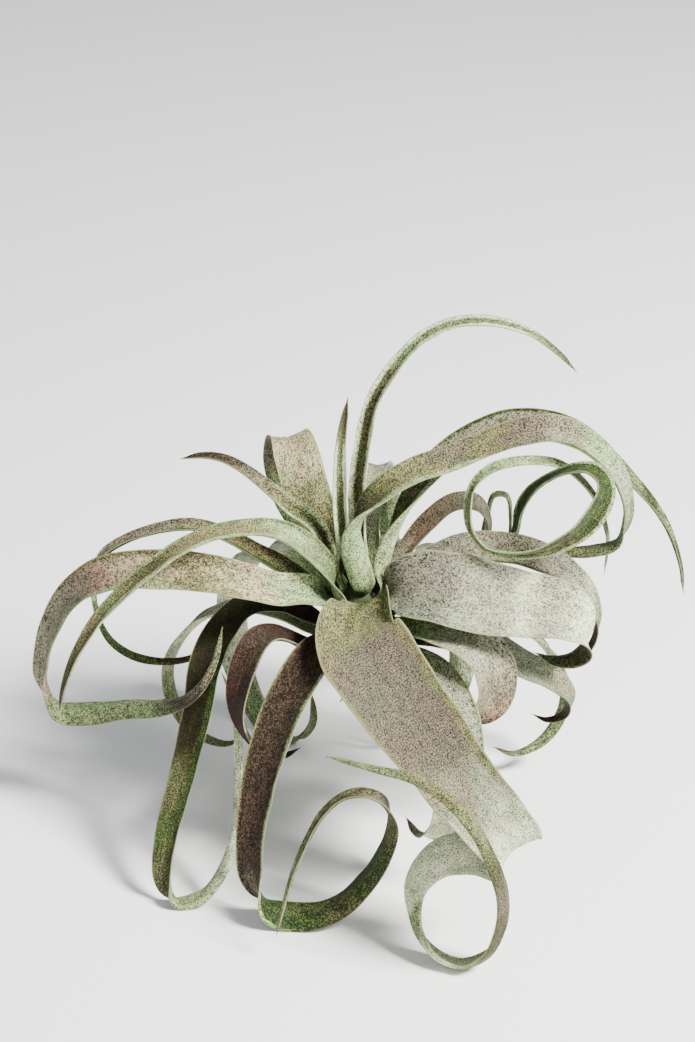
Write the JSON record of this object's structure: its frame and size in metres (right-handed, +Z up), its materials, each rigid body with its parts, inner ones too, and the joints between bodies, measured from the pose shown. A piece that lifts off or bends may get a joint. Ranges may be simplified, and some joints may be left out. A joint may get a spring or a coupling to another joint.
{
  "type": "air plant",
  "caption": "Air plant with broad channelled silver-green leaves that arch from a short woody stem, curl back on themselves and carry the plant where they touch",
  "frame": {"origin": "bottom centre of the whole plant's box, on the surface it rests on", "axes": "+X along the plant's longest spread, towards the leaf ring; -Y towards the broad front leaf; +Z up, with the leaves' curls on the surface"},
  "size_m": [0.1802, 0.1372, 0.148],
  "materials": {
    "leaf_silver": "matt silvery scales over green",
    "leaf_green": "matt olive green with pale rims",
    "leaf_tan": "matt tan and pinkish brown under pale scales",
    "stem_bark": "dry rough bark",
    "root_fibre": "dry fibre"
  },
  "bodies": {
    "root": {"stem": "stem_bark", "root_front": "root_fibre", "root_left": "root_fibre", "root_right": "root_fibre", "leaf_tall_arch": "leaf_green", "leaf_centre_spear": "leaf_green", "leaf_broad_back": "leaf_tan", "leaf_left_upper": "leaf_silver", "leaf_left_front": "leaf_silver", "leaf_left_back_curl": "leaf_tan", "leaf_left_broad": "leaf_silver", "leaf_left_loop": "leaf_green", "leaf_right_arch": "leaf_silver", "leaf_right_back_arch": "leaf_tan", "leaf_right_ring": "leaf_green", "leaf_back_right_short": "leaf_tan", "leaf_right_broad": "leaf_silver", "leaf_right_upper": "leaf_tan", "leaf_right_low": "leaf_green", "leaf_right_front_low": "leaf_silver", "leaf_front_under": "leaf_tan", "leaf_front_broad": "leaf_silver", "leaf_left_front_dark": "leaf_tan", "leaf_front_loop": "leaf_silver", "leaf_back_curl_narrow": "leaf_green", "leaf_back_left_rest": "leaf_silver", "leaf_back_right_rest": "leaf_silver", "leaf_back_upright": "leaf_green", "leaf_back_left_low": "leaf_tan", "leaf_back_right_low": "leaf_green"}
  },
  "joints": []
}
